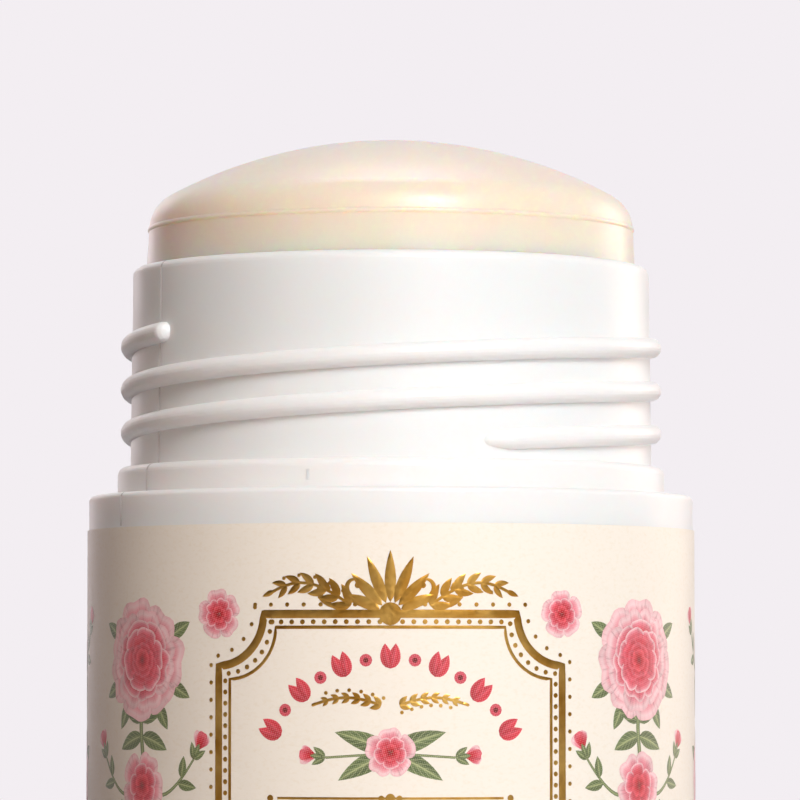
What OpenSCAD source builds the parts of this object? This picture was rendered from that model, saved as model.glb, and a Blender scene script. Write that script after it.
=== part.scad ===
// Round twist-up deodorant stick, standing with its screw cap off and the stick wound up a little.
// Millimetres. The origin is the centre of the plane it stands on, +Z is up and -Y is the front.
// Angles are counted anticlockwise from +X, seen from above, so the front is at 270 degrees.

/* [Body] */
// Outer diameter of the body
body_d = 42; // [36:0.5:50]
// Height of the shoulder above the plane it stands on
shoulder_z = 60; // [56:1:75]
// Thickness of the outer wall
outer_wall = 1; // [0.8:0.1:1.2]
// Thickness of the shoulder that joins the two walls
shoulder_t = 1.2; // [0.8:0.1:2]
// Radius of the shoulder's rounded edge
shoulder_round = 0.35; // [0.1:0.05:0.6]

/* [Neck] */
// Space between the outer wall and the inner tube that guides the stick
wall_space = 1.85; // [1.5:0.05:2.5]
// Thickness of the neck and of the inner tube
neck_wall = 0.8; // [0.7:0.05:1]
// Height of the neck's rim above the shoulder
neck_h = 15.9; // [14:0.1:20]
// How much the neck's radius grows from its rim down to the shoulder
neck_draft = 0.15; // [0:0.05:0.3]
// Radius of the rim's outer edge
rim_round = 0.55; // [0.1:0.05:0.6]
// Step of the cap-seating collar beyond the neck
collar_ledge = 1.05; // [0.9:0.05:1.2]
// Height of the collar above the shoulder
collar_h = 2; // [1:0.1:2.6]
// Radius of the collar's rounded edge
collar_round = 0.55; // [0.1:0.05:0.55]

/* [Neck thread] */
// Number of thread starts
thread_starts = 2; // [1:1:2]
// Distance between neighbouring ridges
thread_spacing = 3; // [2.6:0.1:3.2]
// Angle that each start runs round the neck
thread_sweep = 465; // [360:3:540]
// Direction of the lower end of the first start
thread_from = 289; // [0:1:359]
// Height of the lower ends above the collar, to the middle of the ridge
thread_lift = 1.2; // [1:0.1:2]
// Width of a ridge along the neck
ridge_w = 1.4; // [1:0.1:1.8]
// Height of a ridge above the neck
ridge_h = 0.7; // [0.5:0.05:1]

/* [Stick] */
// Gap between the stick and the bore
stick_gap = 0.1; // [0.05:0.05:0.3]
// How far the stick is wound up from its lowest place
stick_rise = 2.7; // [0:0.1:10]
// Radius of the domed top
dome_r = 32.5; // [25:0.5:60]
// Radius of the round between the dome and the side
dome_edge_r = 2.6; // [0.8:0.1:3]
// How much the radius shrinks from the rim up to the dome
stick_draft = 0.2; // [0:0.05:0.3]
// Radius of the fine moulded bead round the foot of the dome
bead_r = 0.2; // [0.1:0.05:0.3]

/* [Elevator] */
// Height of the elevator's skirt, deck included
elevator_h = 9.2; // [8:0.1:12]
// Thickness of the deck that carries the stick
deck_t = 1.2; // [0.8:0.1:2]
// Thickness of the skirt
skirt_wall = 0.9; // [0.7:0.1:1.4]
// Diameter of the nut in the middle of the elevator
nut_d = 13; // [12:0.1:14]
// Height of the anchor ring that the stick is cast around
anchor_h = 3; // [1:0.1:6]
// Number of ribs, deck windows and floor spokes
rib_count = 6; // [3:1:8]
// Thickness of ribs and spokes
rib_t = 1; // [0.8:0.1:1.6]
// Height of the elevator's ribs below its deck
rib_h = 4; // [2:0.5:6]
// Radius of a deck window
window_r = 1.6; // [1:0.1:2]

/* [Keys that stop the elevator turning] */
// Number of keys in the bore
key_count = 3; // [1:1:6]
// Width of a key
key_w = 1.4; // [1:0.1:2]
// How far a key stands out of the bore
key_depth = 0.7; // [0.5:0.05:0.9]
// Distance from the rim down to the top of the keys
key_below_rim = 6; // [4:0.1:9]
// Gap round a key in its notch
key_gap = 0.15; // [0.1:0.05:0.3]

/* [Feed screw] */
// Outer diameter of the screw's thread
screw_d = 8.4; // [8:0.1:9]
// Rise of the screw's thread in one turn
screw_pitch = 5; // [4:0.5:6]
// Depth of the screw's thread
tooth_h = 0.9; // [0.7:0.05:1]
// Gap between screw and nut, and round the screw in the stick
screw_gap = 0.2; // [0.15:0.05:0.3]
// Distance from the rim down to the tip of the screw
screw_below_rim = 9.9; // [8:0.1:20]
// Diameter of the smooth journal in the floor
journal_d = 6; // [5:0.1:6.4]
// Radial gap between the journal and its bearing
journal_gap = 0.1; // [0.05:0.01:0.15]
// Diameter of the thrust flange
flange_d = 11; // [9:0.1:13]
// Thickness of the thrust flange
flange_t = 1.2; // [0.8:0.1:2]
// Gap above and below the turning parts
end_gap = 0.15; // [0.1:0.05:0.3]

/* [Floor] */
// Height of the floor above the foot of the outer wall
floor_lift = 2; // [1:0.1:4]
// Thickness of the floor
floor_t = 1.6; // [1.2:0.1:2.4]
// How far the inner tube reaches down into the dial
spigot_h = 5; // [3:0.1:5.4]

/* [Base dial] */
// How far the dial's wall stands back from the body's
dial_inset = 0.2; // [0.1:0.05:0.4]
// Height of the dial
dial_h = 9.6; // [8.6:0.1:12]
// Gap between the dial and the foot of the outer wall
dial_gap = 0.4; // [0.2:0.05:0.6]
// Thickness of the dial's wall
dial_wall = 1.3; // [1:0.1:1.6]
// Thickness of the dial's floor
dial_floor = 1.6; // [1.2:0.1:2]
// Height of the foot ring
foot_h = 1; // [0.6:0.1:1.4]
// Width of the foot ring
foot_w = 2.4; // [1.6:0.1:3]
// Number of grip grooves
grip_count = 48; // [24:4:72]
// Depth of a grip groove
grip_depth = 0.35; // [0.2:0.05:0.5]

/* [Label] */
// Thickness of the label
label_t = 0.1; // [0.06:0.01:0.2]
// Thickness of the glue under the label
glue_t = 0.02; // [0.01:0.01:0.05]
// Distance from the shoulder down to the label's top edge
label_drop = 2.4; // [1.5:0.1:4]
// Distance from the foot of the outer wall up to the label's bottom edge
label_lift = 2; // [1:0.1:4]
// Gap between the label's ends at the back
label_seam = 1.5; // [0.5:0.1:4]
// Thickness of the printed layers
print_t = 0.04; // [0.02:0.01:0.08]

/* [Label print] */
// Width of the gold frame
frame_w = 24; // [20:0.5:26]
// Distance from the label's top edge down to the frame
frame_drop = 6; // [5:0.5:10]
// Distance from the label's bottom edge up to the frame
frame_lift = 5; // [3:0.5:10]
// Radius of the frame's hollow corners
notch_r = 3.4; // [2:0.1:4]
// Width of the frame's heavy line
heavy_line = 0.55; // [0.3:0.05:0.8]
// Width of the frame's fine line
fine_line = 0.22; // [0.15:0.01:0.3]
// Gap between the frame's two lines
line_gap = 0.6; // [0.4:0.05:1]
// Height of the fan of leaves on top of the frame
palmette_h = 4.2; // [3:0.1:5]
// Diameter of a large rosette
rosette_d = 8.6; // [6:0.1:9]
// Diameter of a small rosette
small_d = 4.8; // [3:0.1:5.4]
// Distance between a large and a small rosette on a garland
garland_pitch = 8.4; // [7.4:0.1:10]
// Distance between the frame and the first garland's large rosettes
garland_margin = 2.9; // [2:0.1:4]
// Distance between neighbouring garlands, round the label
column_pitch = 14.7; // [13:0.1:16]
// Length of a leaf
leaf_l = 4.2; // [3:0.1:4.6]
// Width of a garland's stem
stem_w = 0.4; // [0.3:0.05:0.6]

/* [Hidden] */

$fn = 96;
round_steps = 5;
eps = 0.01;
// How far a cut runs on past what it cuts, and how deep a joined piece is rooted in its neighbour
over = 1;
root = 0.5;
front = 270;

white = [0.95, 0.94, 0.94];
wax = [0.93, 0.86, 0.76];
cream = [0.97, 0.93, 0.84];
gold = [0.72, 0.5, 0.18];
pink = [0.93, 0.62, 0.66];
crimson = [0.82, 0.13, 0.2];
leaf_green = [0.44, 0.52, 0.3];

body_r = body_d / 2;
neck_foot_r = body_r - outer_wall - wall_space;
rim_r = neck_foot_r - neck_draft;
bore_r = rim_r - neck_wall;
rim_z = shoulder_z + neck_h;
collar_r = rim_r + collar_ledge;
collar_z = shoulder_z + collar_h;
foot_z = dial_h + dial_gap;
floor_z = foot_z + floor_lift;
floor_top = floor_z + floor_t;
spigot_z = foot_z - spigot_h;
key_top = rim_z - key_below_rim;

// Neck ridge: degrees between rings, degrees of its rounded lower and upper ends, the share of its
// height that is a straight flank, and how far its crest is rounded to either side, and in how many steps
ridge_step = 5;
ridge_swell = 10;
ridge_sink = 2.5;
ridge_flank = 0.45;
ridge_round = 85;
crest_steps = 10;
least_swell = 0.02;
end_rings = 5;

screw_r = screw_d / 2;
core_r = screw_r - tooth_h;
// Screw tooth: half its width at root and crest as shares of the lead, the radius it is rooted at,
// degrees between its rings and degrees of its swelling ends
tooth_base = 0.24;
tooth_tip = 0.13;
tooth_root_r = core_r - root / 2;
tooth_step = 18;
tooth_swell = 20;
spare_turns = 2;
tip_h = 1;
journal_r = journal_d / 2;
journal_lap = 1;
bearing_r = journal_r + journal_gap;
flange_z = floor_top + end_gap;
thread_z = flange_z + flange_t;
screw_top = rim_z - screw_below_rim;
hub_wall = 2;
floor_ring_w = 2;
hub_r = bearing_r + hub_wall;

elevator_z = thread_z + end_gap + stick_rise;
deck_top = elevator_z + elevator_h;
wiper_r = bore_r - stick_gap;
window_pitch_r = (bore_r + nut_d / 2) / 2;
anchor_clear = 0.5;
anchor_wall = 1;
anchor_r = window_pitch_r - window_r - anchor_clear - anchor_wall / 2;
anchor_slots = 6;
anchor_slot_w = 2;

stick_r = bore_r - stick_gap;
dome_foot_r = stick_r - stick_draft;
dome_foot_z = rim_z + stick_rise;
draft_lap = 1;
channel_room = 1;

dial_r = body_r - dial_inset;
dial_rim_h = 1.2;
dial_floor_z = foot_h;
foot_inset = 0.5;
guide_wall = 1;
guide_lap = 2;
hex_inset = 0.1;
hex_r = journal_r - hex_inset;
hex_gap = 0.03;
// Grip: how far it stands back from the dial's plain rims, and the shares of its pitch that are land,
// flank and groove
grip_inset = 0.06;
grip_land = 0.45;
grip_flank = 0.15;
grip_floor = 0.25;

label_inner_r = body_r + glue_t;
label_r = label_inner_r + label_t;
label_z = foot_z + label_lift;
label_top = shoulder_z - label_drop;

// Garlands either side of the frame, placed round the label in millimetres: every second one starts
// with a large rosette
column_from = frame_w / 2 + garland_margin + rosette_d / 2;
column_room = PI * label_r - label_seam / 2 - column_from - rosette_d / 2;
column_count = floor(column_room / column_pitch) + 1;
column_drop = 9;
column_margin = 3;
large_petals = 10;
small_petals = 5;
petal_wave = 0.06;
large_heart = 0.42;
small_heart = 0.36;
heart_sides = 24;
leaf_tilt = 52;
leaf_shape = 0.42;
leaf_steps = 5;
// Palmette: size of its hub, and the reach, step and droop of its fan
palm_hub = 0.18;
palm_fan = 66;
palm_step = 22;
palm_droop = 0.7;

function arc_degrees(length, r) = length / r * 180 / PI;
// Points of an arc round a centre, from one angle to another
function arc(cx, cy, r, from, to, steps) =
    [for (i = [0:steps]) let (a = from + (to - from) * i / steps) [cx + r * cos(a), cy + r * sin(a)]];

module round_array(count, from = 0) {
    for (i = [0:count - 1]) rotate([0, 0, from + 360 * i / count]) children();
}

module tube(outer, inner, z0, z1) {
    translate([0, 0, z0]) difference() {
        cylinder(r = outer, h = z1 - z0);
        translate([0, 0, -over]) cylinder(r = inner, h = z1 - z0 + 2 * over);
    }
}

// A helical ridge on a cylinder. The section is a list of [radius, height] points, and the ridge
// swells roundly from nothing over the first degrees and sinks back over the last ones.
function end_angles(run) = [for (i = [0:end_rings - 1]) run * (1 - cos(90 * i / end_rings))];
function ridge_angles(sweep, step, run_in, run_out) =
    let (level = sweep - run_in - run_out, count = ceil(level / step), last = end_angles(run_out))
    concat(end_angles(run_in), [for (i = [0:count]) run_in + level * i / count],
        [for (i = [end_rings - 1:-1:0]) sweep - last[i]]);
function swell(a, sweep, run_in, run_out) =
    let (short = 1 - min(1, a / run_in, (sweep - a) / run_out)) max(least_swell, sqrt(1 - short * short));
function ridge_ring(section, centre, angle, lead, scale) =
    [for (p = section) let (r = centre + (p[0] - centre) * scale)
        [r * cos(angle), r * sin(angle), lead * angle / 360 + p[1] * scale]];
module ridge(section, root_r, sweep, lead, step, run_in, run_out) {
    angles = ridge_angles(sweep, step, run_in, run_out);
    count = len(angles) - 1;
    sides = len(section);
    rings = [for (a = angles) ridge_ring(section, root_r, a, lead, swell(a, sweep, run_in, run_out))];
    faces = concat(
        [[for (j = [sides - 1:-1:0]) j]],
        [for (i = [0:count - 1], j = [0:sides - 1]) let (k = (j + 1) % sides)
            [i * sides + k, (i + 1) * sides + k, (i + 1) * sides + j, i * sides + j]],
        [[for (j = [0:sides - 1]) count * sides + j]]);
    polyhedron(points = [for (ring = rings) each ring], faces = faces, convexity = 10);
}

// Body: outer wall, shoulder, collar, threaded neck and inner tube in one moulding
module body_profile() {
    inside = body_r - outer_wall;
    polygon(concat(
        [[bore_r, spigot_z], [neck_foot_r, spigot_z], [neck_foot_r, shoulder_z - shoulder_t],
            [inside, shoulder_z - shoulder_t], [inside, foot_z], [body_r, foot_z]],
        arc(body_r - shoulder_round, shoulder_z - shoulder_round, shoulder_round, 0, 90, round_steps),
        [[collar_r, shoulder_z]],
        arc(collar_r - collar_round, collar_z - collar_round, collar_round, 0, 90, round_steps),
        [[neck_foot_r, collar_z]],
        arc(rim_r - rim_round, rim_z - rim_round, rim_round, 0, 90, round_steps),
        [[bore_r, rim_z]]));
}

module neck_thread() {
    lead = thread_spacing * thread_starts;
    root_r = rim_r - neck_wall / 2;
    crest = neck_foot_r + ridge_h - root_r;
    section = concat([[root_r, -ridge_w / 2]],
        [for (i = [0:crest_steps]) let (a = ridge_round * (2 * i / crest_steps - 1))
            [root_r + crest * (ridge_flank + (1 - ridge_flank) * cos(a)), ridge_w / 2 * sin(a)]],
        [[root_r, ridge_w / 2]]);
    translate([0, 0, collar_z + thread_lift])
        round_array(thread_starts, thread_from)
            ridge(section, root_r, thread_sweep, lead, ridge_step, ridge_swell, ridge_sink);
}

module spoked_floor() {
    tube(hub_r, bearing_r, floor_z, floor_top);
    tube(bore_r + neck_wall / 2, bore_r - floor_ring_w, floor_z, floor_top);
    round_array(rib_count, front) translate([hub_r - root, -rib_t / 2, floor_z])
        cube([bore_r - floor_ring_w - hub_r + 2 * root, rib_t, floor_t]);
}

module bore_keys(gap = 0, reach = 0) {
    key_z = floor_z + floor_t / 2;
    round_array(key_count, front + 180) translate([bore_r - key_depth - gap, -key_w / 2 - gap, key_z])
        cube([key_depth + gap + neck_wall / 2, key_w + 2 * gap, key_top + reach - key_z]);
}

module tube_body() {
    color(white) {
        rotate_extrude() body_profile();
        neck_thread();
        spoked_floor();
        bore_keys();
    }
}

// Stick: cast in place on the elevator, with its dome moulded in the cap's liner
module dome_profile() {
    edge_x = dome_foot_r - dome_edge_r;
    tangent = asin(edge_x / (dome_r - dome_edge_r));
    centre_z = dome_foot_z - (dome_r - dome_edge_r) * cos(tangent);
    cap_x = dome_r * sin(tangent);
    cap_z = centre_z + dome_r * cos(tangent);
    lap_z = dome_foot_z - root;
    polygon([[0, deck_top], [stick_r, deck_top], [stick_r, rim_z - draft_lap],
        [dome_foot_r, dome_foot_z], [0, dome_foot_z]]);
    intersection() {
        union() {
            translate([edge_x, dome_foot_z]) circle(r = dome_edge_r);
            polygon([[0, centre_z], [cap_x, cap_z], [edge_x, lap_z - root], [0, lap_z - root]]);
            intersection() {
                translate([0, centre_z]) circle(r = dome_r);
                translate([0, dome_foot_z]) square([cap_x, dome_r]);
            }
        }
        translate([0, lap_z]) square(dome_r);
    }
    translate([dome_foot_r - bead_r / 2, dome_foot_z]) circle(r = bead_r);
}

module anchor_ring() {
    difference() {
        tube(anchor_r + anchor_wall / 2, anchor_r - anchor_wall / 2, deck_top - eps, deck_top + anchor_h);
        round_array(anchor_slots, front) translate([anchor_r - anchor_slot_w, -anchor_slot_w / 2, deck_top])
            cube([2 * anchor_slot_w, anchor_slot_w, anchor_h + over]);
    }
}

module deck_windows(z0, z1) {
    round_array(rib_count, front + 180 / rib_count) translate([window_pitch_r, 0, z0])
        cylinder(r = window_r, h = z1 - z0);
}

module deodorant() {
    channel_r = screw_r + screw_gap;
    channel_z = deck_top - deck_t - over;
    channel_top = screw_top + stick_rise + channel_room;
    color(wax) difference() {
        union() {
            rotate_extrude() dome_profile();
            deck_windows(deck_top - deck_t, deck_top + eps);
        }
        translate([0, 0, channel_z]) cylinder(r = channel_r, h = channel_top - channel_z);
        anchor_ring();
        bore_keys(key_gap, stick_rise);
    }
}

// Elevator: deck with windows, skirt, ribs, anchor ring and a threaded nut
module elevator() {
    color(white) difference() {
        union() {
            translate([0, 0, deck_top - deck_t]) cylinder(r = wiper_r, h = deck_t);
            tube(wiper_r, wiper_r - skirt_wall, elevator_z, deck_top);
            translate([0, 0, elevator_z]) cylinder(d = nut_d, h = elevator_h);
            round_array(rib_count, front) translate([nut_d / 2 - root, -rib_t / 2, deck_top - deck_t - rib_h])
                cube([wiper_r - skirt_wall / 2 - nut_d / 2 + root, rib_t, rib_h + deck_t / 2]);
            anchor_ring();
        }
        deck_windows(deck_top - deck_t - over, deck_top + over);
        bore_keys(key_gap, stick_rise);
        translate([0, 0, elevator_z - over]) cylinder(r = core_r + screw_gap, h = elevator_h + 2 * over);
        nut_thread();
    }
}

function tooth(gap) = let (base = screw_pitch * tooth_base + gap, tip = screw_pitch * tooth_tip + gap,
        crest = screw_r + gap)
    [[tooth_root_r, -base], [crest, -tip], [crest, tip], [tooth_root_r, base]];

module screw_thread(gap, turns, from_turn) {
    translate([0, 0, thread_z + screw_pitch * (0.5 + from_turn)])
        ridge(tooth(gap), tooth_root_r, turns * 360, screw_pitch, tooth_step, tooth_swell, tooth_swell);
}

module nut_thread() {
    first = floor((elevator_z - thread_z) / screw_pitch) - spare_turns;
    turns = ceil(elevator_h / screw_pitch) + spare_turns + 1;
    screw_thread(screw_gap, turns, first);
}

// Feed screw: hexagonal foot, journal, thrust flange and threaded spindle
module feed_screw() {
    turns = floor((screw_top - thread_z) / screw_pitch - 1);
    color(white) {
        translate([0, 0, dial_floor_z + eps])
            cylinder(r = hex_r, h = floor_z - journal_lap - dial_floor_z, $fn = 6);
        translate([0, 0, floor_z - journal_lap])
            cylinder(r = journal_r, h = flange_z - floor_z + journal_lap + eps);
        translate([0, 0, flange_z]) cylinder(d = flange_d, h = flange_t);
        translate([0, 0, thread_z - eps]) cylinder(r = core_r, h = screw_top - thread_z - tip_h);
        translate([0, 0, screw_top - tip_h - 2 * eps]) cylinder(r1 = core_r, r2 = core_r - tip_h, h = tip_h);
        screw_thread(0, turns, 0);
    }
}

// Base dial: grooved wall, floor on a foot ring, hub with a hexagonal socket and a guide for the spigot
module grip_outline() {
    pitch = 360 / grip_count;
    high = dial_r - grip_inset;
    low = dial_r - grip_depth;
    groove = grip_land + grip_flank;
    tooth_points = [[0, high], [grip_land, high], [groove, low], [groove + grip_floor, low]];
    polygon([for (i = [0:grip_count - 1], p = tooth_points)
        let (a = (i + p[0]) * pitch) [p[1] * cos(a), p[1] * sin(a)]]);
}

module dial_shell() {
    floor_up = dial_floor_z + dial_floor;
    difference() {
        union() {
            translate([0, 0, dial_floor_z]) cylinder(r = dial_r, h = dial_rim_h);
            translate([0, 0, dial_floor_z + dial_rim_h - eps])
                linear_extrude(dial_h - dial_floor_z - 2 * (dial_rim_h - eps)) grip_outline();
            translate([0, 0, dial_h - dial_rim_h]) cylinder(r = dial_r, h = dial_rim_h);
        }
        translate([0, 0, floor_up]) cylinder(r = dial_r - dial_wall, h = dial_h);
    }
    tube(dial_r - foot_inset, dial_r - foot_inset - foot_w, 0, dial_floor_z + eps);
}

module base_dial() {
    inside = dial_floor_z + dial_floor - eps;
    guide_r = neck_foot_r + journal_gap;
    color(white) difference() {
        union() {
            dial_shell();
            translate([0, 0, inside]) cylinder(r = hub_r, h = floor_z - end_gap - inside);
            tube(guide_r + guide_wall, guide_r, inside, spigot_z + guide_lap);
        }
        translate([0, 0, dial_floor_z - over]) cylinder(r = hex_r + hex_gap, h = floor_z, $fn = 6);
        translate([0, 0, floor_z - journal_lap - end_gap]) cylinder(r = bearing_r, h = 2 * journal_lap);
    }
}

// Label: a wrap with its ends meeting at the back
module label_band(inner, outer, z0, z1, gap) {
    half_gap = arc_degrees(gap / 2, inner);
    rotate([0, 0, front + 180 + half_gap]) rotate_extrude(angle = 360 - 2 * half_gap)
        translate([inner, z0]) square([outer - inner, z1 - z0]);
}

module label() {
    color(cream) label_band(label_inner_r, label_r, label_z, label_top, label_seam);
}

// Lays a flat shape on the label: x runs round it and y up it
module on_label(angle, z) {
    rotate([0, 0, front + angle]) translate([label_r - over, 0, z]) rotate([90, 0, 90])
        linear_extrude(2 * over) children();
}

module printed() {
    intersection() {
        tube(label_r + print_t, label_r, label_z, label_top);
        union() children();
    }
}

// A level line of the frame, given by its middle
module level(half_angle, z, width) {
    rotate([0, 0, front - half_angle]) rotate_extrude(angle = 2 * half_angle)
        translate([label_r - over, z - width / 2]) square([2 * over, width]);
}

module hollow_corner(r, width) {
    intersection() {
        difference() {
            circle(r = r + width / 2);
            circle(r = r - width / 2);
        }
        square(r + width);
    }
}

// One line of the frame, set in from the frame's edge
module frame_line(inset, width) {
    z0 = label_z + frame_lift + inset;
    z1 = label_top - frame_drop - inset;
    edge = arc_degrees(frame_w / 2 - inset, label_r);
    reach = arc_degrees(notch_r, label_r);
    for (side = [-1, 1]) {
        on_label(side * edge, z0 + notch_r) translate([-width / 2, 0]) square([width, z1 - z0 - 2 * notch_r]);
        for (top = [0, 1]) on_label(side * edge, top ? z1 : z0)
            mirror([side > 0 ? 1 : 0, 0]) mirror([0, top]) hollow_corner(notch_r, width);
    }
    for (z = [z0, z1]) level(edge - reach, z, width);
}

// Fan of leaves that crowns the frame
module palmette() {
    hub = palmette_h * palm_hub;
    for (a = [-palm_fan:palm_step:palm_fan]) rotate(a) translate([0, hub])
        leaf((palmette_h - hub) * cos(a * palm_droop), hub);
    circle(r = hub, $fn = heart_sides);
}

module leaf(length, width) {
    turn = 180 / leaf_steps;
    polygon([for (i = [0:leaf_steps]) [width / 2 * sin(i * turn), length * i / leaf_steps],
        for (i = [leaf_steps - 1:-1:1]) [-width / 2 * sin(i * turn), length * i / leaf_steps]]);
}

module label_foil() {
    color(gold) printed() {
        frame_line(0, heavy_line);
        frame_line(heavy_line / 2 + line_gap, fine_line);
        on_label(0, label_top - frame_drop) palmette();
    }
}

// Heights of a garland's rosettes from the top down, which are large and small by turns
garland_top = label_top - column_drop;
garland_count = floor((garland_top - label_z - column_margin - rosette_d / 2) / garland_pitch) + 1;
function garland(first) = [for (i = [first:2:garland_count - 1]) garland_top - i * garland_pitch];

module rosette(d, petals) {
    polygon([for (i = [0:petals * 4 - 1])
        let (a = i * 90 / petals, r = d / 2 * (1 - petal_wave * (1 - cos(i * 90))))
            [r * sin(a), r * cos(a)]]);
}

module on_columns() {
    for (side = [-1, 1], i = [0:column_count - 1]) {
        $first_large = i % 2;
        $angle = side * arc_degrees(column_from + i * column_pitch, label_r);
        children();
    }
}

// Children 0 and 1 are laid at each large and each small rosette
module on_rosettes() {
    for (z = garland($first_large)) on_label($angle, z) children(0);
    for (z = garland(1 - $first_large)) on_label($angle, z) children(1);
}

module petals_round(d, petals, heart) {
    difference() {
        rosette(d, petals);
        circle(d = d * heart, $fn = heart_sides);
    }
}

module label_petals() {
    color(pink) printed() on_columns() on_rosettes() {
        petals_round(rosette_d, large_petals, large_heart);
        petals_round(small_d, small_petals, small_heart);
    }
}

module label_hearts() {
    color(crimson) printed() on_columns() on_rosettes() {
        circle(d = rosette_d * large_heart, $fn = heart_sides);
        circle(d = small_d * small_heart, $fn = heart_sides);
    }
}

module label_leaves() {
    stem_z = label_z + column_margin;
    color(leaf_green) printed() on_columns() difference() {
        union() {
            for (i = [0:garland_count - 1], tilt = [-leaf_tilt, leaf_tilt])
                on_label($angle, garland_top - (i + 0.5) * garland_pitch) rotate(tilt)
                    leaf(leaf_l, leaf_l * leaf_shape);
            on_label($angle, stem_z) translate([-stem_w / 2, 0]) square([stem_w, garland_top - stem_z]);
        }
        on_rosettes() {
            rosette(rosette_d, large_petals);
            rosette(small_d, small_petals);
        }
    }
}

tube_body();
deodorant();
elevator();
feed_screw();
base_dial();
label();
label_foil();
label_petals();
label_hearts();
label_leaves();
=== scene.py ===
"""Looks for a round twist-up deodorant stick that stands open: plastic, wax, printed label and studio."""
import math
import random

import bpy
import numpy as np
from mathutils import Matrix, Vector


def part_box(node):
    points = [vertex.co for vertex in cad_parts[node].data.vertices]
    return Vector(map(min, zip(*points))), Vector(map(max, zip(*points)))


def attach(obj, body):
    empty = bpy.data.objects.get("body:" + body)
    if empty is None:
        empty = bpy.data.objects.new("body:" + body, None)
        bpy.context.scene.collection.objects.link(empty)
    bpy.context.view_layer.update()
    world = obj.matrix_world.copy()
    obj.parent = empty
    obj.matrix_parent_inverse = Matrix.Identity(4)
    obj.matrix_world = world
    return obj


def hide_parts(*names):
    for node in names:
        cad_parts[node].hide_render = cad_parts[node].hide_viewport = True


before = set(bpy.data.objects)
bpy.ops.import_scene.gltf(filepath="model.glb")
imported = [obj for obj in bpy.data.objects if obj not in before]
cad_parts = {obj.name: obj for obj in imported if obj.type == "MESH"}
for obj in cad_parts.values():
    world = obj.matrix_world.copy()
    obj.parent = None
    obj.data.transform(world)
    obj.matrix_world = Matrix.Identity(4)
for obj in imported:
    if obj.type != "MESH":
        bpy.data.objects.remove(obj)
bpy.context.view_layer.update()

MM = 0.001
SEED = 11
rng = random.Random(SEED)

# The label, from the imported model, in millimetres
LABEL_LOW, LABEL_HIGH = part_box("label")
LABEL_R = LABEL_HIGH[0] / MM
LABEL_Z = LABEL_LOW[2] / MM
LABEL_TOP = LABEL_HIGH[2] / MM

# The label's layout, as in the part's source, in millimetres round and up the label
FRAME_W = 24.0
FRAME_Z0 = LABEL_Z + 5.0
FRAME_Z1 = LABEL_TOP - 6.0
NOTCH_R = 3.4
HEAVY_LINE = 0.55
FINE_LINE = 0.22
LINE_GAP = 0.6
PALMETTE_H = 4.2
LARGE_D = 8.6
SMALL_D = 4.8
LARGE_HEART = 0.42
SMALL_HEART = 0.36
GARLAND_MARGIN = 2.9
COLUMN_FROM = FRAME_W / 2 + GARLAND_MARGIN + LARGE_D / 2
COLUMN_PITCH = 14.7
COLUMN_COUNT = 3
GARLAND_TOP = LABEL_TOP - 9.0
GARLAND_PITCH = 8.4
GARLAND_COUNT = 4
STEM_FOOT = LABEL_Z + 3.0
STEM_W = 0.4
LEAF_L = 4.2

# The figures inside the frame, in millimetres and degrees
RULE_HALF = 7.6
RULE_HEIGHTS = (39.5, 29.3)
ARCH_R = 9.0
ARCH_SPAN = 62
ARCH_COUNT = 13
ARCH_CENTRES = ((1, 39.7), (-1, 29.0))
SPRIG_Z = 45.6
UPPER_POSY_Z = 42.5
LOWER_POSY_Z = 34.4
WREATH_R = 5.6
WREATH_DROP = 3.4

# How high the printed layers stand over the label, in millimetres
BASE_LIFT = 0.004
LAYER = 0.0022
FLOWER_LIFT = BASE_LIFT + 2.5 * LAYER
PETAL_RISE = 0.0009
PETAL_STEP = 0.00015
FOIL_LIFT = 0.012
CROWN = 0.02


def linear(r, g, b):
    """A colour given as 8-bit sRGB values, in linear light."""
    return tuple(c / 255 / 12.92 if c <= 10 else ((c / 255 + 0.055) / 1.055) ** 2.4 for c in (r, g, b))


def mix(a, b, share):
    return tuple(x + (y - x) * share for x, y in zip(a, b))


def shade(colour, factor):
    return tuple(c * factor for c in colour)


def ramp(stops, at):
    """The colour at a place between stops, each a place and a colour."""
    for (p0, c0), (p1, c1) in zip(stops, stops[1:]):
        if at <= p1:
            return mix(c0, c1, max(0.0, (at - p0) / (p1 - p0)))
    return stops[-1][1]


# Tints of the printed inks, and their runs from a petal's foot to its edge or from a leaf's rib to its
# side. The foil takes no tint.
PALE = linear(252, 216, 218)
PINK = linear(236, 140, 154)
ROSE = linear(220, 78, 96)
RED = linear(202, 30, 46)
DEEP = linear(124, 10, 24)
GREEN = linear(112, 128, 78)
DARK_GREEN = linear(74, 92, 52)
LIGHT_GREEN = linear(168, 178, 124)
FOIL = (1.0, 1.0, 1.0)

OUTER_STOPS = [(0, RED), (0.35, mix(ROSE, PINK, 0.4)), (0.7, PINK), (0.9, PALE), (1.0, mix(PALE, PINK, 0.4))]
MIDDLE_STOPS = [(0, DEEP), (0.35, RED), (0.7, ROSE), (0.92, PINK), (1.0, PALE)]
INNER_STOPS = [(0, DEEP), (0.5, RED), (0.85, ROSE), (0.95, PINK), (1.0, ROSE)]
HEART_STOPS = [(0, DEEP), (0.5, RED), (0.88, linear(228, 84, 98)), (1.0, ROSE)]
TULIP_STOPS = [(0, ROSE), (0.6, RED), (1.0, ROSE)]
LEAF_STOPS = [(0, LIGHT_GREEN), (0.12, GREEN), (0.7, DARK_GREEN), (1.0, GREEN)]
FOIL_STOPS = [(0, FOIL), (1, FOIL)]


# Materials ---------------------------------------------------------------------------------------

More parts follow.
